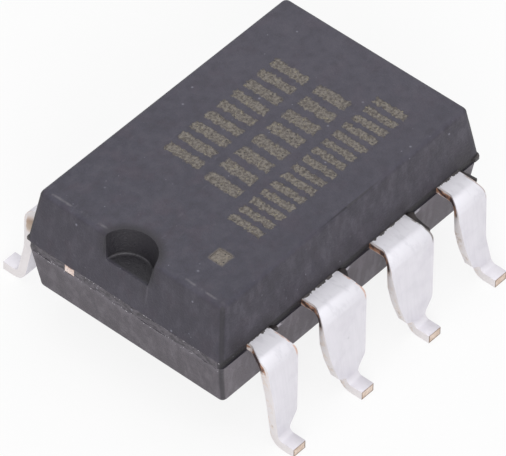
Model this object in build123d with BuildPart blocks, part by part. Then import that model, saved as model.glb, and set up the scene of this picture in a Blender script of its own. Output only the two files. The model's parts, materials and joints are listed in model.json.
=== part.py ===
"""Eight-lead gull-wing package of a dual solid-state relay chip, in millimetres.

The origin is the centre of the plane that the eight feet stand on, +Z is up,
+X runs along the moulded body away from its index notch, and leads 1 to 4 are
on the -Y side, counted from the notch end. Leads 5 to 8 return on the +Y side.
The body is moulded a little off the centre of the lead rows, so the pieces are
drawn about the body's centre and moved by that offset at the end. Left and
right edges of a lead are as seen from outside the body, with the foot down.
"""
import os
from math import cos, radians, tan

from build123d import *

# moulded body
body_length = 9.652
body_width = 6.35
body_height = 3.302
standoff = 1.016
upper_inset_x = 0.268
upper_inset_y = 0.211
lower_inset_x = 0.28
lower_inset_y = 0.17
parting_step = 0.03
band_inset_x = 0.015
band_inset_y = 0.06
corner_radius = 0.155
top_edge_radius = 0.145
bottom_edge_radius = 0.14

# index notch and pin one mark in the top face
notch_radius = 0.80
notch_depth = 0.72
notch_draft = 10.0
notch_floor_radius = 0.07
notch_setback = 0.16
mark_size = 0.43
mark_depth = 0.02
mark_from_end = 1.53
mark_from_side = 1.38
mark_corner_radius = 0.08

# lead frame sheet, its height and its spacing
sheet = 0.254
frame_top = 2.72
lead_pitch = 2.54
lead_span = 9.52
body_offset = 0.06

# formed leads outside the body
foot_length = 0.483
splay = 7.6
inner_bend = 0.127
foot_bend = 0.15
foot_width = 0.44
flare_radius = 0.25
taper_start = 2.28
taper_radius = 0.60
step_end = 0.42
step_radius = 0.22
anchor_depth = 0.35

# a lead's edges: reach from its centre line, way back from the knee, and levels
left_neck = 0.57
left_flare = 0.43
left_reach = 0.82
left_belly = 0.67
left_belly_level = 1.22
left_belly_radius = 2.50
left_step = 0.47
left_step_level = 0.53
left_step_radius = 0.10
right_neck = 0.69
right_flare = 0.17
right_reach = 0.77
right_step = 0.53
right_step_level = 0.72
slim_left_neck = 0.03
slim_left_flare = 0.73
slim_left_flare_end = 0.23
slim_left_reach = 0.31
slim_left_leg = 0.24
slim_left_leg_level = 1.50
slim_right_neck = 0.18
slim_right_reach = 0.235
slim_right_waist = 0.095
slim_right_waist_level = 1.15
slim_right_end = 0.30
waist_radius = 1.20

# lead frame pads inside the body
finger_half = 0.36
finger_length = 1.70
outer_finger_outward = 0.28
outer_finger_inward = 0.80
led_pad_length = 2.05
led_pad_width = 1.05
led_pad_from_centre = 0.45
led_pad_from_middle = 0.20
driver_pad_length = 2.30
driver_pad_from_centre = 1.00
driver_pad_from_middle = 0.15
switch_pad_length = 1.70
switch_pad_width = 0.82
switch_pad_margin = 0.55
switch_pad_setback = 0.20
switch_pad_gap = 0.25
tie_bar_width = 0.30

# dies
led_die_side = 0.36
led_die_height = 0.24
driver_die_length = 0.95
driver_die_width = 0.70
switch_die_length = 1.05
switch_die_width = 0.66
die_height = 0.26
optical_axis = 2.05
led_place = 0.72
driver_place = 0.76

# clear dome over the light path
dome_radius = 1.40
dome_height = 0.88

# bond wires, six-sided to keep their faces few
wire_diameter = 0.05
wire_sides = 6
wire_rise = 0.27
wire_bend = 0.16
bond_inset = 0.12
finger_bond_inset = 0.45

# derived levels, edges and places
half_length = body_length / 2
half_width = body_width / 2
body_top = standoff + body_height
frame_bottom = frame_top - sheet
root = half_width - anchor_depth
lean = tan(radians(splay))
foot_half = foot_width / 2
overrun = sheet
outer_place = lead_pitch * 3 / 2
inner_place = lead_pitch / 2
die_top = frame_top + die_height
led_top = frame_top + led_die_height
wire_top = die_top + wire_rise
outer_switch_edge = half_length - switch_pad_margin
outer_switch_place = outer_switch_edge - switch_pad_length / 2
inner_switch_place = outer_switch_place - switch_pad_length - switch_pad_gap
switch_row = half_width - switch_pad_setback - switch_pad_width / 2
driver_pad_edge = switch_row - switch_pad_width / 2 - switch_pad_gap
dome_row = (driver_place - led_place) / 2


def drafted_layer(low, low_insets, high, high_insets, rounded, radius):
    """A drafted half of the body, lofted and rounded at its end 0 low or -1 high."""
    with BuildPart() as layer:
        for level, (inset_x, inset_y) in ((low, low_insets), (high, high_insets)):
            with BuildSketch(Plane.XY.offset(level)):
                RectangleRounded(
                    body_length - 2 * inset_x, body_width - 2 * inset_y, corner_radius
                )
        loft(ruled=True)
        fillet(layer.edges().group_by(Axis.Z)[rounded], radius)
    return layer.part


def plate(x_from, x_to, y_from, y_to):
    """A rectangle between two places along the body and two across it."""
    with Locations(((x_from + x_to) / 2, (y_from + y_to) / 2)):
        Rectangle(abs(x_to - x_from), abs(y_to - y_from))


def outline(first, first_radii, second, second_radii):
    """Close two runs of points, rounded at their inner corners, into a face."""
    with BuildLine() as border:
        FilletPolyline(*first, radius=first_radii)
        FilletPolyline(*second, radius=second_radii)
        Line(first[0], second[0])
        Line(first[-1], second[-1])
    make_face(border.edges())


def tip_reach(side):
    """How far the feet of one row reach from the body's centre."""
    return lead_span / 2 - side * body_offset


def knee_reach(side):
    """How far the corner of one row's outer bend is from the body's centre."""
    return tip_reach(side) - foot_length - lean * (frame_top - sheet)


def strip_section(side):
    """Side view of a bent lead: shoulder, leg and foot, on one side of the body."""
    wall = sheet / cos(radians(splay))
    tip = tip_reach(side)
    toe = tip - foot_length
    knee = knee_reach(side)
    under_knee = knee + lean * sheet - wall
    heel = knee + lean * frame_top - wall
    upper = [(root, frame_top), (knee, frame_top), (toe, sheet), (tip, sheet)]
    lower = [(root, frame_bottom), (under_knee, frame_bottom), (heel, 0), (tip, 0)]
    outline(
        [(side * out, level) for out, level in upper], [inner_bend + sheet, foot_bend],
        [(side * out, level) for out, level in lower], [inner_bend, foot_bend + sheet],
    )


def edge_corners(left, slim):
    """Corners of one cut edge: along the shoulder, then down the leg with radii."""
    if slim and left:
        shoulder = [(slim_left_neck, slim_left_flare), (slim_left_reach, slim_left_flare_end)]
        leg = [(slim_left_leg, slim_left_leg_level, taper_radius),
               (foot_half, step_end, step_radius)]
    elif slim:
        shoulder = [(slim_right_neck, right_flare), (slim_right_reach, 0)]
        leg = [(slim_right_waist, slim_right_waist_level, waist_radius),
               (foot_half, slim_right_end, step_radius)]
    elif left:
        shoulder = [(left_neck, left_flare), (left_reach, 0)]
        leg = [(left_belly, left_belly_level, left_belly_radius),
               (left_step, left_step_level, left_step_radius),
               (foot_half, step_end, left_step_radius)]
    else:
        shoulder = [(right_neck, right_flare), (right_reach, 0)]
        leg = [(right_step, right_step_level, step_radius),
               (foot_half, step_end, step_radius)]
    return shoulder, leg


def front_edge(hand, slim, side):
    """Cut edge of a lead seen from the front, from the shoulder to the foot."""
    (_, (reach, _)), leg = edge_corners(hand == side, slim)
    run = [(reach, frame_top + overrun), (reach, taper_start)]
    run += [(half, level) for half, level, _ in leg] + [(foot_half, -overrun)]
    radii = [taper_radius] + [radius for _, _, radius in leg]
    return [(hand * half, level) for half, level in run], radii


def shoulder_edge(hand, slim, side):
    """Cut edge of a lead seen from above, from inside the body to the tip."""
    ((neck, flare_start), (reach, flare_end)), _ = edge_corners(hand == side, slim)
    knee = knee_reach(side)
    run = [(neck, root - overrun), (neck, knee - flare_start),
           (reach, knee - flare_end), (reach, tip_reach(side) + overrun)]
    return [(hand * half, side * out) for half, out in run], [flare_radius] * 2


def formed_lead(place, side, slim_hand):
    """The bent strip of one lead, cut to its blank; slim_hand is its slim edge."""
    with BuildPart() as strip:
        with BuildSketch(Plane.YZ.offset(place)):
            strip_section(side)
        extrude(amount=left_reach + overrun, both=True)
        with BuildSketch(Plane.XZ.move(Location((place, 0, 0)))):
            outline(
                *front_edge(-1, slim_hand == -1, side),
                *front_edge(1, slim_hand == 1, side),
            )
        extrude(amount=lead_span, both=True, mode=Mode.INTERSECT)
        with BuildSketch(Plane.XY.move(Location((place, 0, 0)))):
            outline(
                *shoulder_edge(-1, slim_hand == -1, side),
                *shoulder_edge(1, slim_hand == 1, side),
            )
        extrude(amount=body_top, mode=Mode.INTERSECT)
    return strip.part


def inner_plate(half, side, inner):
    """Plan of the part of a lead that lies inside the body, by its quarter."""
    if side < 0 and inner:
        pad_end = led_pad_from_middle + led_pad_width
        plate(half * led_pad_from_centre, half * (led_pad_from_centre + led_pad_length),
              side * led_pad_from_middle, side * pad_end)
        plate(half * (inner_place - finger_half), half * (inner_place + finger_half),
              side * (pad_end - overrun), side * (root + anchor_depth / 2))
    elif side < 0:
        plate(half * (outer_place + outer_finger_outward),
              half * (outer_place - outer_finger_inward),
              side * (root - finger_length), side * (root + anchor_depth / 2))
    else:
        place = inner_switch_place if inner else outer_switch_place
        plate(half * (place - switch_pad_length / 2), half * (place + switch_pad_length / 2),
              side * (switch_row - switch_pad_width / 2),
              side * (switch_row + switch_pad_width / 2))


def make_lead(half, side, inner):
    """One whole lead: its formed strip and its flat plate inside the body."""
    place = half * (inner_place if inner else outer_place)
    with BuildPart() as lead:
        add(formed_lead(place, side, 0 if inner else half))
        with BuildSketch(Plane.XY.offset(frame_bottom)):
            inner_plate(half, side, inner)
        extrude(amount=sheet)
    return lead.part


def make_driver_pad(half):
    """The pad under a driver die, with the tie bar that ends flush in the end face."""
    far_edge = driver_pad_from_centre + driver_pad_length
    with BuildPart() as pad:
        with BuildSketch(Plane.XY.offset(frame_bottom)):
            plate(half * driver_pad_from_centre, half * far_edge,
                  driver_pad_from_middle, driver_pad_edge)
            plate(half * (far_edge - overrun), half * (half_length - band_inset_x),
                  driver_pad_edge - tie_bar_width, driver_pad_edge)
        extrude(amount=sheet)
    return pad.part


def make_die(along, across, length, width, height):
    """A die that lies on the lead frame."""
    with BuildPart() as die:
        with BuildSketch(Plane.XY.offset(frame_top)):
            with Locations((along, across)):
                Rectangle(length, width)
        extrude(amount=height)
    return die.part


def wire_runs(half):
    """Start and end of each bond wire of one channel."""
    driver_x = driver_die_length / 2 - bond_inset
    driver_y = driver_place + driver_die_width / 2 - bond_inset
    switch_x = switch_die_length / 2 - bond_inset
    low_y = switch_row - switch_die_width / 2 + bond_inset
    high_y = switch_row + switch_die_width / 2 - bond_inset
    finger_y = -(root - finger_length + finger_bond_inset)
    return [
        ((half * optical_axis, -led_place, led_top),
         (half * (outer_place - finger_half), finger_y, frame_top)),
        ((half * (optical_axis + driver_x), driver_y, die_top),
         (half * (outer_switch_place - switch_x), low_y, die_top)),
        ((half * optical_axis, driver_y, die_top),
         (half * (inner_switch_place + switch_x), low_y, die_top)),
        ((half * (optical_axis - driver_x), driver_y, die_top),
         (half * (inner_switch_place - switch_x), low_y, die_top)),
        ((half * (outer_switch_place - switch_x), high_y, die_top),
         (half * (inner_switch_place + switch_x), high_y, die_top)),
    ]


def make_wires(half):
    """The looped bond wires of one channel, each a separate solid."""
    with BuildPart() as wires:
        for start, end in wire_runs(half):
            with BuildLine():
                FilletPolyline(
                    start, (start[0], start[1], wire_top),
                    (end[0], end[1], wire_top), end, radius=wire_bend,
                )
            with BuildSketch(Plane(origin=start)):
                RegularPolygon(wire_diameter / 2, wire_sides)
            sweep()
    return wires.part


def make_dome(half, held):
    """The clear dome cast over a light source and its driver die."""
    sphere_radius = (dome_radius**2 + dome_height**2) / (2 * dome_height)
    with BuildPart() as dome:
        with Locations((half * optical_axis, dome_row, frame_top + dome_height - sphere_radius)):
            Sphere(sphere_radius)
        split(bisect_by=Plane.XY.offset(frame_top), keep=Keep.TOP)
        add(held, mode=Mode.SUBTRACT)
    return dome.part


# lead frame, dies, wires and domes, channel one being the notch half
pieces = {}
for number, (half, side, inner) in enumerate(
    [(-1, -1, False), (-1, -1, True), (1, -1, True), (1, -1, False),
     (1, 1, False), (1, 1, True), (-1, 1, True), (-1, 1, False)], start=1
):
    pieces[f"lead_{number}"] = make_lead(half, side, inner)
for channel, half in ((1, -1), (2, 1)):
    pieces[f"driver_pad_{channel}"] = make_driver_pad(half)
    led = make_die(half * optical_axis, -led_place, led_die_side, led_die_side, led_die_height)
    driver = make_die(half * optical_axis, driver_place, driver_die_length,
                      driver_die_width, die_height)
    wires = make_wires(half)
    pieces[f"led_die_{channel}"] = led
    pieces[f"driver_die_{channel}"] = driver
    for label, place in (("outer", outer_switch_place), ("inner", inner_switch_place)):
        pieces[f"switch_die_{channel}_{label}"] = make_die(
            half * place, switch_row, switch_die_length, switch_die_width, die_height
        )
    pieces[f"bond_wires_{channel}"] = wires
    pieces[f"coupling_dome_{channel}"] = make_dome(half, [led, driver, wires])

# moulded body: two drafted halves with the recessed parting band between them
upper_half = drafted_layer(
    frame_top, (0, 0), body_top, (upper_inset_x, upper_inset_y), -1, top_edge_radius
)
lower_half = drafted_layer(
    standoff, (lower_inset_x, lower_inset_y), frame_bottom, (parting_step, parting_step),
    0, bottom_edge_radius,
)
with BuildPart() as moulded_body:
    add([upper_half, lower_half])
    with BuildSketch(Plane.XY.offset(frame_bottom)):
        RectangleRounded(
            body_length - 2 * band_inset_x, body_width - 2 * band_inset_y, corner_radius
        )
    extrude(amount=sheet)

    # index notch: a half-round tapered pocket, open through the end face
    with BuildSketch(Plane.XY.offset(body_top)):
        with Locations((upper_inset_x - half_length - notch_setback, 0)):
            Circle(notch_radius)
    extrude(amount=-notch_depth, taper=notch_draft, mode=Mode.SUBTRACT)
    notch_floor = moulded_body.faces(Select.LAST).filter_by(Axis.Z).sort_by(Axis.Z)[0]
    fillet(notch_floor.edges().filter_by(GeomType.CIRCLE), notch_floor_radius)

    # pin one mark: a shallow rounded square beside lead 1
    with BuildSketch(Plane.XY.offset(body_top)):
        with Locations((mark_from_end - half_length, mark_from_side - half_width)):
            RectangleRounded(mark_size, mark_size, mark_corner_radius)
    extrude(amount=-mark_depth, mode=Mode.SUBTRACT)

    add(list(pieces.values()), mode=Mode.SUBTRACT)
pieces["moulded_body"] = moulded_body.part

os.makedirs("parts", exist_ok=True)
for name, centred in pieces.items():
    piece = centred.moved(Location((0, body_offset, 0)))
    piece.label = name
    export_step(piece, f"parts/{name}.step")
    print(name, len(piece.solids()), round(piece.volume, 4))
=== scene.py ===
"""Looks of an eight-lead gull-wing relay chip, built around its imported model. Metres, +Z up."""

import json
import math
import random

import bmesh
import bpy
from mathutils import Matrix, Vector


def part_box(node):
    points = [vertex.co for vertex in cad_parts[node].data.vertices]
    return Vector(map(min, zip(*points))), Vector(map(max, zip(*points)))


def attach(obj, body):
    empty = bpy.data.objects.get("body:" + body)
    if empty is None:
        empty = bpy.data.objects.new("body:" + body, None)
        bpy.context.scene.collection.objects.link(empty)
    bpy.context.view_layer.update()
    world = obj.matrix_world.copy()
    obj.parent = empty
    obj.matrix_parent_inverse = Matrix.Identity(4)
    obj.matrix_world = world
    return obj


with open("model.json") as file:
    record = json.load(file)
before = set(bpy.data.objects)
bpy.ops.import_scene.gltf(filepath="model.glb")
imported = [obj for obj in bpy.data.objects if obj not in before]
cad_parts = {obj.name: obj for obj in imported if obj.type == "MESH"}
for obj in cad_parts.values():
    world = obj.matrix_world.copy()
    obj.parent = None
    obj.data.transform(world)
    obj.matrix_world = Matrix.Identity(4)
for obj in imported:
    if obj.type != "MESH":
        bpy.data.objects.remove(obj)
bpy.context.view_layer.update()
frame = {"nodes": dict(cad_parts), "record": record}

MM = 0.001
SEED = 8

# camera solved from the photograph: sensor width in millimetres, image width and focal length
# in pixels, place, and axes
SENSOR, IMAGE_WIDTH = 36.0, 506
FOCAL_PIXELS = 7067.1
CAMERA_PLACE = Vector((-0.092514, -0.078836, 0.126238))
CAMERA_RIGHT = Vector((0.657849, -0.753063, 0.011470))
CAMERA_FORWARD = Vector((0.531196, 0.453130, -0.715894))

# sizes that the model is drawn with, in millimetres
SHEET, PITCH = 0.254, 2.54
SPLAY = math.radians(7.6)
INNER_BEND = 0.127
FOOT_LENGTH, FOOT_HALF = 0.483, 0.22
UPPER_INSET = 0.268
NOTCH_RADIUS, NOTCH_DEPTH, NOTCH_SETBACK = 0.80, 0.72, 0.16

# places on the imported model, in millimetres
BODY_LOW, BODY_HIGH = (Vector(c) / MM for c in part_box("moulded_body"))
HALF_LENGTH = BODY_HIGH.x
TOP_END = HALF_LENGTH - UPPER_INSET
FACE_NEAR, FACE_FAR = BODY_LOW.y, BODY_HIGH.y
BODY_MIDDLE = (FACE_NEAR + FACE_FAR) / 2
TOP = BODY_HIGH.z
NOTCH_CENTRE = (-TOP_END - NOTCH_SETBACK, BODY_MIDDLE)
LEAD_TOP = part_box("lead_2")[1][2] / MM
LEAD_UNDER = LEAD_TOP - SHEET
LEAD_PLACES = [(step - 1.5) * PITCH for step in range(4)]

# side view of a lead: its tip, the corner of its outer bend, and that bend's centre
TIP = -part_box("lead_2")[0][1] / MM
KNEE = TIP - FOOT_LENGTH - math.tan(SPLAY) * LEAD_UNDER
BEND_RADIUS = INNER_BEND + SHEET
BEND_CENTRE = (KNEE - BEND_RADIUS * math.tan((math.pi / 2 - SPLAY) / 2), LEAD_TOP - BEND_RADIUS)

# how far a shoulder's left and right edges are from the lead's place, seen from its foot,
# where resin bled over its root, and where its right edge is bare
SHOULDER_LEFT, SHOULDER_RIGHT = 0.57, 0.69
SLIM_LEFT, SLIM_RIGHT = 0.05, 0.20
TRIMMED_EDGES = (SHOULDER_RIGHT, SHOULDER_RIGHT, SHOULDER_RIGHT, 0.18)

# dark resin burrs: the point each is measured from, the directions along X and Y of its
# corners' two distances, its lowest and highest level, and the corners
# the first four sit in the dark nooks right of the near leads' roots: partly resin burr, partly
# painted shade
BURRS = [
    ((LEAD_PLACES[0], FACE_NEAR), (1, -1), (2.53, 2.63),
     ((0.66, -0.05), (0.86, -0.05), (0.93, 0.05), (0.90, 0.15), (0.80, 0.11), (0.68, 0.12))),
    ((LEAD_PLACES[1], FACE_NEAR), (1, -1), (2.53, 2.63),
     ((0.66, -0.05), (0.88, -0.05), (0.95, 0.04), (0.90, 0.15), (0.80, 0.28), (0.70, 0.24))),
    ((LEAD_PLACES[2], FACE_NEAR), (1, -1), (2.53, 2.63),
     ((0.66, -0.05), (0.91, -0.05), (0.98, 0.06), (0.89, 0.22), (0.85, 0.45),
      (0.83, 0.68), (0.75, 0.78), (0.70, 0.40))),
    ((LEAD_PLACES[3], FACE_NEAR), (1, -1), (2.53, 2.63),
     ((0.17, -0.05), (0.29, -0.05), (0.32, 0.14), (0.35, 0.28), (0.37, 0.47),
      (0.31, 0.50), (0.25, 0.35), (0.19, 0.14))),
    ((HALF_LENGTH, FACE_NEAR), (-1, -1), (2.56, 2.70),
     ((0.03, -0.36), (0.004, -0.30), (0.004, -0.03), (0.06, 0.050), (0.22, 0.050), (0.26, -0.08))),
    ((-HALF_LENGTH, FACE_FAR), (1, 1), (2.69, 2.79),
     ((0.05, -0.24), (0.02, -0.20), (0.015, -0.02), (0.06, 0.012), (0.16, 0.012), (0.20, -0.08))),
]

# pale specks at the notch end: ranges of their places along Y and up, and how many
SPECKS = [((0.75, 1.50), (2.66, 2.76), 26), ((-3.05, 0.75), (2.66, 2.74), 26),
          ((-3.00, 3.00), (2.40, 2.48), 40), ((1.15, 1.25), (3.14, 3.18), 2)]

# plain etched bars in three rows: ends along X, edges along Y, and number of bars
ETCHED_ROWS = [
    ((-1.54, 2.85), (0.66, 1.76), 9),
    ((-1.70, 2.90), (-0.68, 0.34), 8),
    ((-2.28, 3.45), (-2.00, -1.00), 15),
]
PIN_MARK = ((-3.51, -3.07), (-1.95, -1.51))

# strength of the studio where it lights a surface, and where it is seen or mirrored
WORLD_LIGHT, WORLD_SEEN = 0.5, 1.0
FLOOR_SIZE, FLOOR_TONE, FLOOR_GLOW = 0.6, 0.9, 0.85

# rounding of punched and torn edges, in millimetres
LEAD_EDGE, BURR_EDGE, WELD_REACH = 0.06, 0.02, 0.002


def make_camera():
    data = bpy.data.cameras.new("camera")
    data.sensor_width = SENSOR
    data.lens = FOCAL_PIXELS / IMAGE_WIDTH * SENSOR
    data.clip_start, data.clip_end = 0.01, 10
    camera = bpy.data.objects.new("camera", data)
    bpy.context.scene.collection.objects.link(camera)
    up = CAMERA_RIGHT.cross(CAMERA_FORWARD)
    axes = Matrix((CAMERA_RIGHT, up, -CAMERA_FORWARD)).transposed()
    camera.matrix_world = Matrix.Translation(CAMERA_PLACE) @ axes.to_4x4()
    bpy.context.scene.camera = camera


class Shade:
    """A material's nodes in short calls: numbers or sockets go in, sockets come out.

    Places are in millimetres, so a noise of scale 10 has details of a tenth of one.
    """

    def __init__(self, name, metallic=0.0):
        self.material = bpy.data.materials.new(name)
        self.material.use_nodes = True
        self.nodes = self.material.node_tree.nodes
        self.links = self.material.node_tree.links
        self.shader = self.nodes["Principled BSDF"]
        self.shader.inputs["Metallic"].default_value = metallic
        place = self.nodes.new("ShaderNodeTexCoord").outputs["Object"]
        self.place = self.scaled(place, (1 / MM,) * 3)
        self.x, self.y, self.z = self.parts(self.place)
        normal = self.nodes.new("ShaderNodeNewGeometry").outputs["Normal"]
        self.facing = self.parts(normal)

    def put(self, value, socket):
        if isinstance(value, bpy.types.NodeSocket):
            self.links.new(value, socket)
        else:
            socket.default_value = value

    def parts(self, vector):
        node = self.nodes.new("ShaderNodeSeparateXYZ")
        self.put(vector, node.inputs[0])
        return tuple(node.outputs)

    def scaled(self, vector, factors):
        node = self.nodes.new("ShaderNodeVectorMath")
        node.operation = "MULTIPLY"
        self.put(vector, node.inputs[0])
        self.put(factors, node.inputs[1])
        return node.outputs[0]

    def math(self, operation, *values, clamp=False):
        node = self.nodes.new("ShaderNodeMath")
        node.operation, node.use_clamp = operation, clamp
        for value, socket in zip(values, node.inputs):
            self.put(value, socket)
        return node.outputs[0]

    def ramp(self, value, low, high, start=0.0, end=1.0):
        """Goes smoothly from start at low to end at high."""
        node = self.nodes.new("ShaderNodeMapRange")
        node.interpolation_type = "SMOOTHSTEP"
        for each, name in ((value, "Value"), (low, "From Min"), (high, "From Max"),
                           (start, "To Min"), (end, "To Max")):
            self.put(each, node.inputs[name])
        return node.outputs[0]

    def noise(self, scale, detail=3.0, stretch=(1, 1, 1), rough=0.6):
        node = self.nodes.new("ShaderNodeTexNoise")
        self.put(self.scaled(self.place, stretch), node.inputs["Vector"])
        for value, name in ((scale, "Scale"), (detail, "Detail"), (rough, "Roughness")):
            self.put(value, node.inputs[name])
        return node.outputs["Fac"]

    def cells(self, scale):
        """Distance to the nearest point of a random scatter, and that point's own value."""
        node = self.nodes.new("ShaderNodeTexVoronoi")
        self.put(self.place, node.inputs["Vector"])
        self.put(scale, node.inputs["Scale"])
        return node.outputs["Distance"], self.parts(node.outputs["Color"])[0]

    def within(self, value, low, high, soft):
        """1 between low and high, with soft edges centred on them."""
        half = soft / 2
        rise = self.ramp(value, low - half, low + half)
        fall = self.ramp(value, high - half, high + half, 1.0, 0.0)
        return self.math("MULTIPLY", rise, fall)

    def all_of(self, *masks):
        total = masks[0]
        for mask in masks[1:]:
            total = self.math("MULTIPLY", total, mask)
        return total

    def any_of(self, *masks):
        total = masks[0]
        for mask in masks[1:]:
            total = self.math("MAXIMUM", total, mask)
        return total

    def mix(self, mask, first, second):
        node = self.nodes.new("ShaderNodeMix")
        node.data_type = "RGBA"
        self.put(mask, node.inputs["Factor"])
        for colour, socket in ((first, node.inputs[6]), (second, node.inputs[7])):
            self.put(colour if isinstance(colour, bpy.types.NodeSocket) else (*colour, 1), socket)
        return node.outputs[2]

    def finish(self, colour, roughness, height, depth, metallic=None):
        """Plugs everything into the shader; relief of the given height is depth deep."""
        bump = self.nodes.new("ShaderNodeBump")
        self.put(depth * MM, bump.inputs["Distance"])
        self.put(height, bump.inputs["Height"])
        plugs = {"Base Color": colour, "Roughness": roughness, "Normal": bump.outputs[0]}
        if metallic is not None:
            plugs["Metallic"] = metallic
        for name, socket in plugs.items():
            self.put(socket, self.shader.inputs[name])
        return self.material


def band_colour(s, colour):
    """The parting band: rough, pitted and flush at the ends, set back by the leads, with painted
    shade there.
    """
    band = s.within(s.z, LEAD_UNDER, LEAD_TOP, 0.04)
    at_end = s.ramp(s.math("ABSOLUTE", s.facing[0]), 0.5, 0.8)
    rough = s.noise(6, detail=6, stretch=(1.0, 0.7, 1.5), rough=0.7)
    tone = s.mix(s.ramp(rough, 0.40, 0.60), (0.040, 0.035, 0.043), (0.105, 0.094, 0.110))
    wavy = s.math("MULTIPLY_ADD", s.noise(2.0, detail=5), 0.10, s.z)
    broken = s.ramp(s.noise(3.5, detail=5), 0.40, 0.60)
    low_ledge = s.within(wavy, LEAD_UNDER + 0.034, LEAD_UNDER + 0.064, 0.03)
    high_ledge = s.within(wavy, LEAD_TOP + 0.02, LEAD_TOP + 0.04, 0.03)
    ledge = s.all_of(s.any_of(low_ledge, high_ledge), broken)
    tone = s.mix(s.math("MULTIPLY", ledge, 0.6), tone, (0.26, 0.24, 0.28))
    distance, pick = s.cells(7)
    pits = s.all_of(s.ramp(distance, 0.10, 0.30, 1.0, 0.0), s.ramp(pick, 0.72, 0.74))
    tone = s.mix(s.math("MULTIPLY", pits, 0.8), tone, (0.016, 0.014, 0.017))
    colour = s.mix(s.all_of(band, at_end), colour, tone)
    # painted shade: the band darkened where it is set back along the sides
    recessed = s.math("SUBTRACT", band, s.math("MULTIPLY", band, at_end))
    return s.mix(s.math("MULTIPLY", recessed, 0.7), colour, (0.018, 0.015, 0.018))


def body_colour(s, grain):
    """Resin colour by zone: top, upper sides painted darker as shade, and the lower half painted
    lighter as if lit, most on the near face.
    """
    cloud = s.noise(1.1, detail=4)
    colour = s.mix(s.ramp(grain, 0.3, 0.7), (0.033, 0.031, 0.047), (0.050, 0.047, 0.068))
    colour = s.mix(s.ramp(cloud, 0.40, 0.70, 0.0, 0.5), colour, (0.060, 0.056, 0.076))
    colour = s.mix(s.ramp(s.noise(1.7, detail=3), 0.48, 0.66, 0.0, 0.5), colour,
                   (0.050, 0.038, 0.056))
    colour = s.mix(s.ramp(s.x, -4.0, 3.0, 0.0, 0.42), colour, (0.068, 0.062, 0.083))
    # painted shade: upright faces darker than the top
    upright = s.ramp(s.facing[2], 0.35, 0.80, 1.0, 0.0)
    colour = s.mix(s.math("MULTIPLY", upright, 0.5), colour, (0.031, 0.026, 0.036))
    smears = s.noise(3.2, detail=4, stretch=(1.2, 1.2, 0.6), rough=0.65)
    strength = s.ramp(s.facing[1], -0.9, -0.5, 1.0, 0.6)
    pale = s.math("MULTIPLY", strength, s.ramp(smears, 0.48, 0.66, 0.0, 0.45))
    colour = s.mix(pale, colour, (0.085, 0.078, 0.100))
    deep = s.math("MULTIPLY", strength, s.ramp(smears, 0.34, 0.50, 0.55, 0.0))
    colour = s.mix(deep, colour, (0.023, 0.020, 0.030))
    strip = s.all_of(s.ramp(s.y, FACE_NEAR + 0.515, FACE_NEAR + 1.415, 1.0, 0.0),
                     s.ramp(s.z, TOP - 0.10, TOP - 0.02))
    colour = s.mix(s.math("MULTIPLY", strip, 0.22), colour, (0.024, 0.022, 0.036))
    # painted light: the lower half lighter, as if lit from the floor, and lighter still on the near
    # face; smears and smudges ride on it
    near = s.ramp(s.facing[1], -0.9, -0.6, 1.0, 0.0)
    lower = s.ramp(s.z, LEAD_UNDER - 0.03, LEAD_UNDER, 1.0, 0.0)
    lower_smears_and_light = s.mix(grain, (0.054, 0.045, 0.056), (0.092, 0.080, 0.096))
    near_smudges_and_light = s.mix(grain, (0.105, 0.092, 0.106), (0.148, 0.132, 0.150))
    smudges = s.ramp(s.noise(2.6, detail=3, stretch=(1.6, 1.0, 0.5)), 0.45, 0.65)
    near_smudges_and_light = s.mix(smudges, near_smudges_and_light, (0.165, 0.150, 0.170))
    lower_smears_and_light = s.mix(s.ramp(smears, 0.46, 0.66, 0.0, 0.5), lower_smears_and_light, (0.135, 0.120, 0.140))
    lower_smears_and_light = s.mix(s.ramp(smears, 0.34, 0.50, 0.35, 0.0), lower_smears_and_light, (0.040, 0.034, 0.042))
    lower_smears_and_light = s.mix(near, lower_smears_and_light, near_smudges_and_light)
    patchy = s.math("MULTIPLY_ADD", s.noise(2.4, detail=5), 0.6, s.z)
    lit = s.ramp(patchy, LEAD_UNDER - 0.016, LEAD_TOP + 0.08, 0.0, 0.45)
    colour = s.mix(lower, colour, s.mix(lit, lower_smears_and_light, (0.170, 0.152, 0.180)))
    colour = band_colour(s, colour)

    # painted shade darkens the upright corners, the crevice over the near face's parting band and
    # the near face above and between the leads, where the lower half's top edge is chipped pale
    ways = [s.within(s.math("ABSOLUTE", way), 0.30, 0.95, 0.20) for way in s.facing[:2]]
    colour = s.mix(s.math("MULTIPLY", s.all_of(*ways), 0.75), colour, (0.014, 0.012, 0.017))
    # painted shade in the crevice at the parting band
    crevice = s.all_of(near, s.within(s.z, LEAD_UNDER + 0.02, LEAD_TOP + 0.06, 0.06))
    colour = s.mix(s.math("MULTIPLY", crevice, 0.9), colour, (0.008, 0.007, 0.009))
    patchy = s.math("MULTIPLY_ADD", cloud, 0.5, s.z)
    offsets = [s.math("SUBTRACT", s.x, place) for place in LEAD_PLACES]
    rims = s.all_of(s.any_of(*(s.within(offset, 0.92, 1.30, 0.15) for offset in offsets)), near,
                    s.within(s.z, LEAD_UNDER - 0.12, LEAD_UNDER - 0.01, 0.05),
                    s.ramp(s.noise(5, detail=4), 0.46, 0.56))
    colour = s.mix(s.math("MULTIPLY", rims, 0.8), colour, (0.62, 0.60, 0.66))
    # painted shade on the near face above each lead
    shades = [s.within(offset, -0.62, 0.82, 0.5) for offset in offsets]
    over = s.math("MULTIPLY_ADD", s.any_of(*shades), 0.45, 0.25)
    above = s.all_of(near, over, s.within(patchy, LEAD_TOP + 0.10, LEAD_TOP + 0.62, 0.45))
    return s.mix(above, colour, (0.016, 0.013, 0.018))


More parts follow.
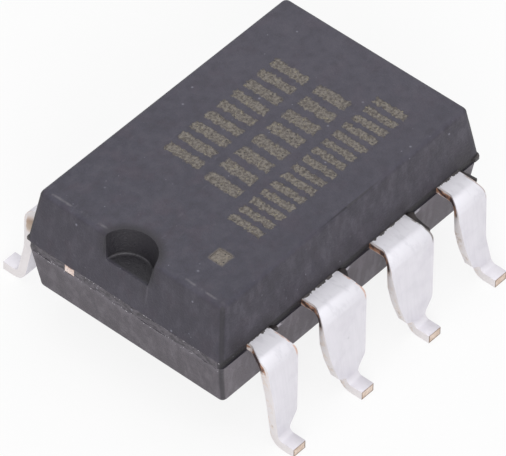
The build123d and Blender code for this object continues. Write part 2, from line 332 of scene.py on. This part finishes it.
def notch_colour(s, colour):
    """The index notch: painted shade inside and round its rim, a light line at its floor, and below
    its near corner a faint flow line with a shade beside it."""
    across = s.math("SUBTRACT", s.x, NOTCH_CENTRE[0])
    along = s.math("SUBTRACT", s.y, NOTCH_CENTRE[1])
    squares = s.math("ADD", s.math("MULTIPLY", across, across), s.math("MULTIPLY", along, along))
    reach = s.math("SQRT", squares)
    floor = TOP - NOTCH_DEPTH
    inside = s.all_of(s.ramp(reach, NOTCH_RADIUS, NOTCH_RADIUS + 0.02, 1.0, 0.0),
                      s.within(s.z, floor - 0.02, TOP - 0.015, 0.02), s.ramp(across, -0.002, 0.168))
    rim = s.all_of(s.ramp(reach, NOTCH_RADIUS, NOTCH_RADIUS + 0.30, 1.0, 0.0),
                   s.ramp(s.z, floor - 0.05, floor + 0.30),
                   s.ramp(across, -0.032, 0.518, 0.45, 1.0))
    line = s.all_of(inside, s.within(s.z, floor + 0.012, floor + 0.030, 0.015),
                    s.ramp(s.noise(4, detail=3), 0.40, 0.55))
    # painted shade inside the notch and round its rim
    colour = s.mix(s.math("MULTIPLY", inside, 0.93), colour, (0.007, 0.006, 0.009))
    colour = s.mix(s.math("MULTIPLY", rim, 0.9), colour, (0.012, 0.010, 0.015))
    colour = s.mix(s.math("MULTIPLY", line, 0.3), colour, (0.16, 0.15, 0.17))
    below = s.all_of(s.ramp(across, 0.018, 0.118, 1.0, 0.0),
                     s.ramp(s.z, LEAD_TOP + 0.13, floor - 0.198),
                     s.ramp(s.z, floor - 0.04, floor + 0.02, 1.0, 0.0))
    shade = s.all_of(below, s.ramp(along, -0.66, -0.60), s.ramp(along, -0.62, -0.30, 1.0, 0.0))
    colour = s.mix(s.math("MULTIPLY", shade, 0.35), colour, (0.020, 0.017, 0.022))
    crease = s.math("MULTIPLY", below, s.within(along, -0.70, -0.655, 0.05))
    return s.mix(s.math("MULTIPLY", crease, 0.30), colour, (0.15, 0.14, 0.16))


def worn_colour(s, colour):
    """Rubbed end edge, partly a painted highlight along its rounding, scuffs and fine light dust.
    """
    # a broken pale line on the notch end's rounded top edge: rubbed wear and a painted highlight
    wobble = s.math("MULTIPLY_ADD", s.noise(1.5, detail=4), 0.12, s.x)
    broken = s.ramp(s.noise(3.2, detail=6), 0.43, 0.60)
    beside = s.any_of(s.within(s.y, BODY_MIDDLE + 0.87, FACE_FAR - 0.435, 0.3),
                      s.within(s.y, FACE_NEAR + 0.415, FACE_NEAR + 1.615, 0.5))
    worn = s.all_of(broken, beside, s.within(wobble, 0.178 - TOP_END, 0.238 - TOP_END, 0.05),
                    s.ramp(s.z, TOP - 0.118, TOP - 0.058))
    colour = s.mix(s.math("MULTIPLY", worn, 0.55), colour, (0.19, 0.18, 0.20))
    scuffs = s.ramp(s.noise(4.5, detail=6, stretch=(0.45, 1.5, 1.0)), 0.62, 0.76, 0.0, 0.22)
    colour = s.mix(scuffs, colour, (0.14, 0.135, 0.165))
    for scale, share in ((5.0, 0.955), (9.0, 0.97)):
        distance, pick = s.cells(scale)
        dust = s.all_of(s.ramp(distance, 0.08, 0.22, 1.0, 0.0), s.ramp(pick, share, share + 0.02))
        colour = s.mix(s.math("MULTIPLY", dust, 0.5), colour, (0.30, 0.30, 0.36))
    return colour


def etched_mask(s):
    """Rows of plain blocks and the pin one mark, with ragged edges, on the top face."""
    wander = [s.noise(scale, detail=4) for scale in (7, 8)]
    x, y = (s.math("ADD", way, s.math("MULTIPLY_ADD", noise, 0.24, -0.12))
            for way, noise in zip((s.x, s.y), wander))
    sides = (s.within(s.math("ADD", way, s.math("MULTIPLY_ADD", noise, 0.10, -0.05)), *span, 0.10)
             for way, noise, span in zip((s.x, s.y), wander, PIN_MARK))
    mark = s.all_of(*sides)
    masks = []
    for (start, end), (low, high), count in ETCHED_ROWS:
        pitch = (end - start) / count
        step = s.math("FRACT", s.math("DIVIDE", s.math("SUBTRACT", x, start), pitch))
        masks.append(s.all_of(s.within(step, 0.20, 0.80, 0.10), s.within(x, start, end, 0.05),
                              s.within(y, low, high, 0.05)))
    rows = s.math("MULTIPLY", s.any_of(*masks), s.ramp(s.facing[2], 0.6, 0.95))
    return s.math("MULTIPLY", s.any_of(rows, mark), s.ramp(s.z, TOP - 0.118, TOP - 0.038))


def epoxy_material():
    """Matt black resin: grain, zones with painted light and shade, notch with painted shade, wear
    with a painted highlight, dust and laser-etched marks.
    """
    s = Shade("epoxy")
    grain = s.noise(16, detail=4)
    colour = notch_colour(s, worn_colour(s, body_colour(s, grain)))
    etched = etched_mask(s)
    burnt = s.noise(13, detail=5, rough=0.75)
    etch = s.mix(s.ramp(burnt, 0.38, 0.62), (0.076, 0.063, 0.054), (0.250, 0.224, 0.196))
    mark_end = PIN_MARK[0][1]
    etch = s.mix(s.ramp(s.x, mark_end + 0.07, mark_end + 0.27, 0.35, 0.0), etch,
                 (0.330, 0.285, 0.240))
    etch = s.mix(s.ramp(s.noise(21, detail=2), 0.62, 0.72), etch, (0.34, 0.30, 0.19))
    pits, chosen = s.cells(9)
    pitted = s.all_of(s.ramp(pits, 0.12, 0.30, 1.0, 0.0), s.ramp(chosen, 0.5, 0.52))
    etch = s.mix(pitted, etch, (0.030, 0.026, 0.024))
    colour = s.mix(s.math("MULTIPLY", etched, 0.9), colour, etch)
    relief = s.math("MULTIPLY_ADD", s.math("MULTIPLY", burnt, etched), 2.0, grain)
    uneven = s.ramp(grain, 0.2, 0.8, 0.50, 0.66)
    return s.finish(colour, roughness=uneven, height=relief, depth=0.02)


def outer_depth(s, y_reach):
    """How deep a place on a lead is below its outer face, by shoulder, bend or leg."""
    out = s.math("SUBTRACT", y_reach, BEND_CENTRE[0])
    up = s.math("SUBTRACT", s.z, BEND_CENTRE[1])
    sine, cosine = math.sin(SPLAY), math.cos(SPLAY)
    legward = s.math("MULTIPLY_ADD", up, sine, s.math("MULTIPLY", out, cosine))
    down = s.math("MULTIPLY_ADD", up, -cosine, s.math("MULTIPLY", out, sine))
    squares = s.math("MULTIPLY_ADD", up, up, s.math("MULTIPLY", out, out))
    round_part = s.all_of(s.math("GREATER_THAN", out, 0.0), s.math("LESS_THAN", down, 0.0),
                          s.math("SQRT", squares))
    return s.math("SUBTRACT", BEND_RADIUS, s.any_of(up, legward, round_part))


def tin_material():
    """Satin tin plate with drawing lines, grey spots and bare copper where it was cut."""
    s = Shade("tinned_copper")
    x_way, y_way = (s.math("ABSOLUTE", way) for way in s.facing[:2])
    y_reach = s.math("ABSOLUTE", s.y)
    drawn = s.noise(9, detail=4, stretch=(1.6, 0.5, 0.12))
    cloud = s.noise(1.7, detail=4)
    colour = s.mix(s.ramp(drawn, 0.3, 0.7), (0.715, 0.697, 0.743), (0.755, 0.737, 0.783))
    colour = s.mix(s.ramp(cloud, 0.45, 0.75, 0.0, 0.45), colour, (0.61, 0.59, 0.645))
    raised = s.ramp(s.z, LEAD_UNDER - 0.5, LEAD_UNDER)
    # painted light: shoulders and bends lighter where they face up and darker down the bend, with
    # grey ruts
    turn = s.mix(s.ramp(s.facing[2], 0.55, 1.0), (0.74, 0.725, 0.775), (0.79, 0.78, 0.83))
    ruts = s.ramp(s.noise(4, detail=3, stretch=(1.5, 0.6, 1.0)), 0.48, 0.70, 0.0, 0.35)
    turn = s.mix(ruts, turn, (0.54, 0.53, 0.58))
    turned_up = s.math("MULTIPLY", raised, s.ramp(s.facing[2], 0.15, 0.45))
    colour = s.mix(s.math("MULTIPLY", turned_up, 0.85), colour, turn)
    foot = s.ramp(s.math("MULTIPLY_ADD", cloud, 0.3, s.z), SHEET + 0.196, SHEET + 0.396, 0.5, 0.0)
    colour = s.mix(foot, colour, (0.68, 0.66, 0.70))
    distance, pick = s.cells(3.2)
    spots = s.all_of(s.ramp(distance, 0.06, 0.16, 1.0, 0.0), s.ramp(pick, 0.90, 0.92))
    colour = s.mix(s.math("MULTIPLY", spots, 0.3), colour, (0.42, 0.42, 0.46))

    # sheared sides: plating is dragged over their outer half. Below it the near leads show copper
    # and dirt by the bend, then cream and olive patches, and the far leads a brown heel
    side = s.ramp(x_way, 0.30, 0.55)
    far = s.ramp(s.y, -0.5, 0.5)
    near = s.math("SUBTRACT", 1.0, far)
    patch = s.noise(3.5, detail=6, rough=0.75)
    deep = s.math("MULTIPLY_ADD", s.noise(5, detail=4), 0.09, outer_depth(s, y_reach))
    core = s.within(deep, 0.115, 0.30, 0.04)
    high = s.ramp(s.math("MULTIPLY_ADD", patch, 0.9, s.z), LEAD_TOP - 0.10, LEAD_TOP + 0.10)
    dirt = s.noise(4.2, detail=3, stretch=(1.0, 0.7, 1.0), rough=0.55)
    dirty = s.mix(s.ramp(dirt, 0.44, 0.53), (0.060, 0.034, 0.034), (0.40, 0.21, 0.13))
    dirty = s.mix(s.ramp(dirt, 0.58, 0.64), dirty, (0.80, 0.72, 0.70))
    olive = s.mix(s.ramp(dirt, 0.40, 0.50), (0.30, 0.26, 0.20), (0.74, 0.68, 0.60))
    copper = s.mix(s.ramp(s.z, LEAD_UNDER - 0.416, LEAD_UNDER - 0.066), olive, dirty)
    copper = s.mix(s.math("MULTIPLY", far, 0.8), copper, (0.46, 0.345, 0.265))
    lip = s.all_of(s.within(deep, 0.00, 0.060, 0.02), s.ramp(patch, 0.40, 0.55),
                   s.ramp(s.z, LEAD_UNDER - 0.566, LEAD_UNDER - 0.166, 0.0, 0.6))
    patches = s.any_of(high, s.ramp(patch, 0.50, 0.60, 0.0, 0.6))
    heel = s.within(s.z, LEAD_UNDER - 0.566, LEAD_UNDER - 0.046, 0.30)
    shown = s.any_of(s.math("MULTIPLY", near, patches), s.math("MULTIPLY", far, heel))
    worn = s.math("MULTIPLY", core, shown)
    bare = s.math("MULTIPLY", side, s.any_of(worn, lip))
    colour = s.mix(s.math("MULTIPLY", side, 0.5), colour, (0.80, 0.75, 0.72))
    colour = s.mix(bare, colour, s.mix(worn, (0.72, 0.55, 0.46), copper))

    # bare right-hand edges of the shoulders, seen from outside the part on either side
    turned = s.math("MULTIPLY", s.x, s.ramp(s.y, -0.01, 0.01, 1.0, -1.0))
    out = s.math("SUBTRACT", y_reach, (FACE_FAR - FACE_NEAR) / 2)
    spread = s.ramp(out, 0.50, 0.85)
    trims = []
    for place, offset in zip(LEAD_PLACES, TRIMMED_EDGES):
        edge = s.math("MULTIPLY_ADD", spread, 0.07, place + offset)
        gap = s.math("SUBTRACT", turned, edge)
        trims.append(s.within(gap, -0.040, 0.2, 0.03))
    trim = s.all_of(s.any_of(*trims), s.ramp(s.z, LEAD_UNDER - 0.216, LEAD_UNDER - 0.016),
                    s.ramp(out, 0.10, 0.25), s.ramp(patch, 0.38, 0.52),
                    s.ramp(x_way, 0.75, 0.95, 1.0, 0.0))
    tone = s.mix(s.within(turned, 0.0, PITCH, 0.4), (0.62, 0.38, 0.27), (0.13, 0.10, 0.08))
    tone = s.mix(s.ramp(turned, PITCH + 0.06, PITCH + 0.46), tone, (0.42, 0.33, 0.30))
    colour = s.mix(s.math("MULTIPLY", trim, 0.8), colour, tone)

    # ends of the feet, sheared after plating, with a darker outline
    end = s.all_of(s.ramp(y_way, 0.5, 0.8), s.ramp(y_reach, TIP - 0.08, TIP - 0.05),
                   s.ramp(s.z, SHEET, SHEET + 0.02, 1.0, 0.0))
    tan = s.mix(s.ramp(s.noise(7, detail=4), 0.35, 0.65), (0.60, 0.47, 0.38), (0.76, 0.64, 0.56))
    apart = s.math("SUBTRACT", s.math("ABSOLUTE", s.x), PITCH)
    across = s.math("ABSOLUTE", s.math("SUBTRACT", s.math("ABSOLUTE", apart), PITCH / 2))
    ragged = s.math("MULTIPLY_ADD", s.noise(12, detail=3), 0.05, -0.025)
    level = s.math("ADD", s.math("ABSOLUTE", s.math("SUBTRACT", s.z, SHEET / 2)), ragged)
    outline = s.any_of(s.ramp(level, SHEET / 2 - 0.050, SHEET / 2 - 0.015),
                       s.ramp(s.math("ADD", across, ragged), FOOT_HALF - 0.050, FOOT_HALF - 0.015))
    tan = s.mix(s.math("MULTIPLY", outline, 0.8), tan, (0.15, 0.095, 0.065))
    colour = s.mix(end, colour, tan)

    # metallic, less so where it is bare and on the bends
    plated = s.math("SUBTRACT", 0.55, s.math("MULTIPLY", s.any_of(bare, end), 0.25))
    plated = s.math("SUBTRACT", plated, s.math("MULTIPLY", turned_up, 0.20))
    roughness = s.ramp(drawn, 0.2, 0.8, 0.50, 0.62)
    return s.finish(colour, roughness=roughness, metallic=plated, height=drawn, depth=0.001)


def copper_material():
    """Bare lead frame copper, paler where the tie bars were cut at the end faces."""
    s = Shade("bare_copper", metallic=0.85)
    grain = s.noise(7, detail=4)
    colour = s.mix(s.ramp(grain, 0.3, 0.7), (0.60, 0.34, 0.22), (0.80, 0.52, 0.38))
    cut = s.ramp(s.math("ABSOLUTE", s.x), HALF_LENGTH - 0.08, HALF_LENGTH - 0.04)
    pale = s.mix(s.ramp(grain, 0.35, 0.6), (0.55, 0.36, 0.29), (0.84, 0.72, 0.67))
    return s.finish(s.mix(cut, colour, pale), roughness=s.ramp(grain, 0.2, 0.8, 0.35, 0.5),
                    height=grain, depth=0.004)


def grained_material(name, dark, light, roughness, metallic=0.0, scale=6.0):
    """A plain finish for inner pieces and resin scraps: two tones, grain and slight relief."""
    s = Shade(name, metallic=metallic)
    grain = s.noise(scale, detail=4)
    colour = s.mix(s.ramp(grain, 0.3, 0.7), dark, light)
    uneven = s.ramp(grain, 0.2, 0.8, roughness - 0.06, roughness + 0.06)
    return s.finish(colour, roughness=uneven, height=grain, depth=0.003)


def backdrop_rays(nodes, links):
    """1 for camera, glossy and transmission rays, and 0 for the rest."""
    path = nodes.new("ShaderNodeLightPath")
    first = nodes.new("ShaderNodeMath")
    second = nodes.new("ShaderNodeMath")
    first.operation = second.operation = "MAXIMUM"
    links.new(path.outputs["Is Camera Ray"], first.inputs[0])
    links.new(path.outputs["Is Glossy Ray"], first.inputs[1])
    links.new(first.outputs[0], second.inputs[0])
    links.new(path.outputs["Is Transmission Ray"], second.inputs[1])
    return second.outputs[0]


def make_world():
    world = bpy.data.worlds.new("studio")
    world.use_nodes = True
    bpy.context.scene.world = world
    nodes, links = world.node_tree.nodes, world.node_tree.links
    background = nodes["Background"]
    background.inputs["Color"].default_value = (1, 1, 1, 1)
    strength = nodes.new("ShaderNodeMapRange")
    strength.inputs["To Min"].default_value = WORLD_LIGHT
    strength.inputs["To Max"].default_value = WORLD_SEEN
    links.new(backdrop_rays(nodes, links), strength.inputs["Value"])
    links.new(strength.outputs[0], background.inputs["Strength"])


def make_floor():
    bpy.ops.mesh.primitive_plane_add(size=FLOOR_SIZE, location=(0, 0, 0))
    floor = bpy.context.object
    floor.name = "floor"
    material = bpy.data.materials.new("floor")
    material.use_nodes = True
    nodes, links = material.node_tree.nodes, material.node_tree.links
    nodes.clear()
    diffuse = nodes.new("ShaderNodeBsdfDiffuse")
    diffuse.inputs["Color"].default_value = (FLOOR_TONE, FLOOR_TONE, FLOOR_TONE, 1)
    glow = nodes.new("ShaderNodeEmission")
    glow.inputs["Color"].default_value = (1, 1, 1, 1)
    share = nodes.new("ShaderNodeMapRange")
    share.inputs["To Max"].default_value = FLOOR_GLOW
    mix = nodes.new("ShaderNodeMixShader")
    out = nodes.new("ShaderNodeOutputMaterial")
    links.new(backdrop_rays(nodes, links), share.inputs["Value"])
    links.new(share.outputs[0], mix.inputs["Fac"])
    links.new(diffuse.outputs[0], mix.inputs[1])
    links.new(glow.outputs[0], mix.inputs[2])
    links.new(mix.outputs[0], out.inputs["Surface"])
    floor.data.materials.append(material)


def make_lamp(name, place, size, power):
    data = bpy.data.lights.new(name, "AREA")
    data.size, data.energy = size, power
    lamp = bpy.data.objects.new(name, data)
    bpy.context.scene.collection.objects.link(lamp)
    lamp.location = place
    lamp.rotation_euler = (-Vector(place)).to_track_quat("-Z", "Y").to_euler()
    lamp.visible_camera = False


def add_piece(name, mesh, material):
    """Puts a mesh, given in millimetres, into the scene as a piece of the object."""
    mesh.transform(Matrix.Scale(MM, 4))
    piece = bpy.data.objects.new(name, mesh)
    bpy.context.scene.collection.objects.link(piece)
    mesh.materials.append(material)
    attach(piece, "root")
    return piece


def into_mesh(name, shape):
    """Makes a mesh of a bmesh, which isn't used afterwards."""
    mesh = bpy.data.meshes.new(name)
    shape.to_mesh(mesh)
    shape.free()
    return mesh


def strip_mesh(name, sections):
    """A closed solid strip through four-cornered sections, one after another."""
    shape = bmesh.new()
    rings = [[shape.verts.new(corner) for corner in section] for section in sections]
    for ring, after in zip(rings, rings[1:]):
        for i in range(4):
            j = (i + 1) % 4
            shape.faces.new((ring[i], ring[j], after[j], after[i]))
    shape.faces.new(reversed(rings[0]))
    shape.faces.new(rings[-1])
    bmesh.ops.recalc_face_normals(shape, faces=shape.faces)
    return into_mesh(name, shape)


def ragged_walk(count, low, high, step):
    """A seeded run of widths that wander between low and high."""
    value = (low + high) / 2
    for _ in range(count):
        value = min(high, max(low, value + random.uniform(-step, step)))
        yield value


def end_flash(name, side, level, low, high, thick):
    """A ragged resin fin along one end face's parting edge."""
    back = HALF_LENGTH - 0.07
    length = FACE_FAR - FACE_NEAR - 0.4
    count = 150
    sections = []
    for i, reach in enumerate(ragged_walk(count, low, high, 0.012)):
        y = BODY_MIDDLE - length / 2 + length * i / (count - 1)
        z = level + random.uniform(-0.006, 0.006)
        half = thick * random.uniform(0.7, 1.0) / 2
        out = HALF_LENGTH - reach
        sections.append([(side * back, y, z - half), (side * out, y, z - half * 0.4),
                         (side * out, y, z + half * 0.4), (side * back, y, z + half)])
    add_piece(name, strip_mesh(name, sections), materials["flash"])


def root_flash(number, place, side, left, right):
    """Resin that bled a little way over a lead's root, with a toothed edge."""
    face = FACE_NEAR if side < 0 else FACE_FAR
    count = 60
    sections = []
    for i, reach in enumerate(ragged_walk(count, 0.008, 0.062, 0.038)):
        x = place - left + (left + right) * i / (count - 1)
        inner, outer = face - side * 0.04, face + side * reach
        sections.append([(x, inner, LEAD_TOP - 0.01), (x, outer, LEAD_TOP - 0.01),
                         (x, outer, LEAD_TOP + 0.004), (x, inner, LEAD_TOP + 0.03)])
    name = f"root_flash_{number}"
    add_piece(name, strip_mesh(name, sections), materials["dark_flash"])


def chips_mesh(name, spots):
    """Small rough grains, each at a place and of a size, joined into one mesh."""
    shape = bmesh.new()
    for place, size in spots:
        grown = bmesh.ops.create_icosphere(shape, subdivisions=1, radius=size)
        for vertex in grown["verts"]:
            vertex.co *= random.uniform(0.7, 1.15)
            vertex.co += Vector(place)
    return into_mesh(name, shape)


def burr(name, start, ways, levels, corners):
    """A small ragged resin burr, seated on the body's side."""
    shape = bmesh.new()
    rings = [[shape.verts.new((start[0] + ways[0] * along, start[1] + ways[1] * out,
                               level + random.uniform(-0.012, 0.012)))
              for along, out in corners] for level in levels]
    for i, corner in enumerate(rings[0]):
        j = (i + 1) % len(corners)
        shape.faces.new((corner, rings[0][j], rings[1][j], rings[1][i]))
    for ring in rings:
        shape.faces.new(ring)
    bmesh.ops.recalc_face_normals(shape, faces=shape.faces)
    piece = add_piece(name, into_mesh(name, shape), materials["dark_flash"])
    bevel = piece.modifiers.new("edges", "BEVEL")
    bevel.width, bevel.segments = BURR_EDGE * MM, 2


def soften_leads():
    """Rounds the leads' edges as punching does, without touching their meshes."""
    for name, node in frame["nodes"].items():
        if not name.startswith("lead_"):
            continue
        weld = node.modifiers.new("weld", "WELD")
        weld.merge_threshold = WELD_REACH * MM
        bevel = node.modifiers.new("edges", "BEVEL")
        bevel.width, bevel.segments = LEAD_EDGE * MM, 3
        bevel.limit_method, bevel.angle_limit = "ANGLE", math.radians(40)
        bevel.harden_normals = False
        normals = node.modifiers.new("normals", "WEIGHTED_NORMAL")
        normals.keep_sharp = False


random.seed(SEED)
make_camera()
make_world()
make_floor()
make_lamp("overhead", (0.05, 0.05, 0.5), size=0.35, power=0.8)
make_lamp("low_front", (-0.40, -0.40, 0.264), size=0.3, power=2.2)

materials = {
    "epoxy": epoxy_material(),
    "tinned_copper": tin_material(),
    "bare_copper": copper_material(),
    "silicon": grained_material(
        "silicon", (0.09, 0.095, 0.12), (0.14, 0.15, 0.19), roughness=0.22, metallic=0.2),
    "clear_silicone": grained_material(
        "clear_silicone", (0.74, 0.74, 0.71), (0.86, 0.86, 0.84), roughness=0.35, scale=2.0),
    "gold_wire": grained_material(
        "gold_wire", (0.80, 0.55, 0.18), (0.92, 0.70, 0.28), roughness=0.25, metallic=1.0),
    "flash": grained_material(
        "resin_flash", (0.060, 0.054, 0.064), (0.17, 0.155, 0.175), roughness=0.5),
    "dust": grained_material(
        "pale_dust", (0.42, 0.40, 0.43), (0.86, 0.84, 0.88), roughness=0.5, scale=4.0),
    # dark resin for flash and burrs; the burrs by the near leads' roots also stand for the shade
    # there
    "dark_flash": grained_material(
        "dark_resin_flash", (0.020, 0.017, 0.019), (0.055, 0.046, 0.046), roughness=0.45),
}
slots = {part["node"]: part["material_slot"] for part in frame["record"]["subparts"]}
for name, node in frame["nodes"].items():
    node.data.materials.clear()
    node.data.materials.append(materials[slots[name]])
soften_leads()

# flash on both end faces, then on each lead's root
for side, end in ((-1, "notch_end"), (1, "far_end")):
    end_flash(f"upper_flash_{end}", side, LEAD_TOP - 0.03, low=0.001, high=0.022, thick=0.025)
    end_flash(f"lower_flash_{end}", side, LEAD_UNDER - 0.02, low=0.001, high=0.030, thick=0.035)
for number in range(1, 9):
    side = -1 if number <= 4 else 1
    place = LEAD_PLACES[number - 1] if number <= 4 else LEAD_PLACES[8 - number]
    left = SLIM_LEFT if number in (1, 5) else SHOULDER_LEFT
    right = SLIM_RIGHT if number in (4, 8) else SHOULDER_RIGHT
    if side > 0:
        left, right = right, left
    root_flash(number, place, side, left, right)

for number, (start, ways, levels, corners) in enumerate(BURRS, start=1):
    burr(f"burr_{number}", start, ways, levels, corners)

# specks half sunk in the notch end's drafted face, and grains in the band of both ends
slope = UPPER_INSET / (TOP - LEAD_TOP)
spots = []
for along, up, count in SPECKS:
    for _ in range(count):
        y, z = random.uniform(*along), random.uniform(*up)
        x = HALF_LENGTH - 0.012 - slope * max(0, z - LEAD_TOP)
        spots.append(((-x, y, z), random.uniform(0.007, 0.011)))
add_piece("pale_specks", chips_mesh("pale_specks", spots), materials["dust"])

spots = []
for _ in range(150):
    side = random.choice((-1, 1))
    spots.append(((side * (HALF_LENGTH - 0.024), random.uniform(FACE_NEAR + 0.3, FACE_FAR - 0.3),
                   random.uniform(LEAD_UNDER + 0.02, LEAD_TOP - 0.02)),
                  random.uniform(0.008, 0.020)))
add_piece("band_grains", chips_mesh("band_grains", spots), materials["flash"])

bpy.context.scene.view_settings.view_transform = "Standard"
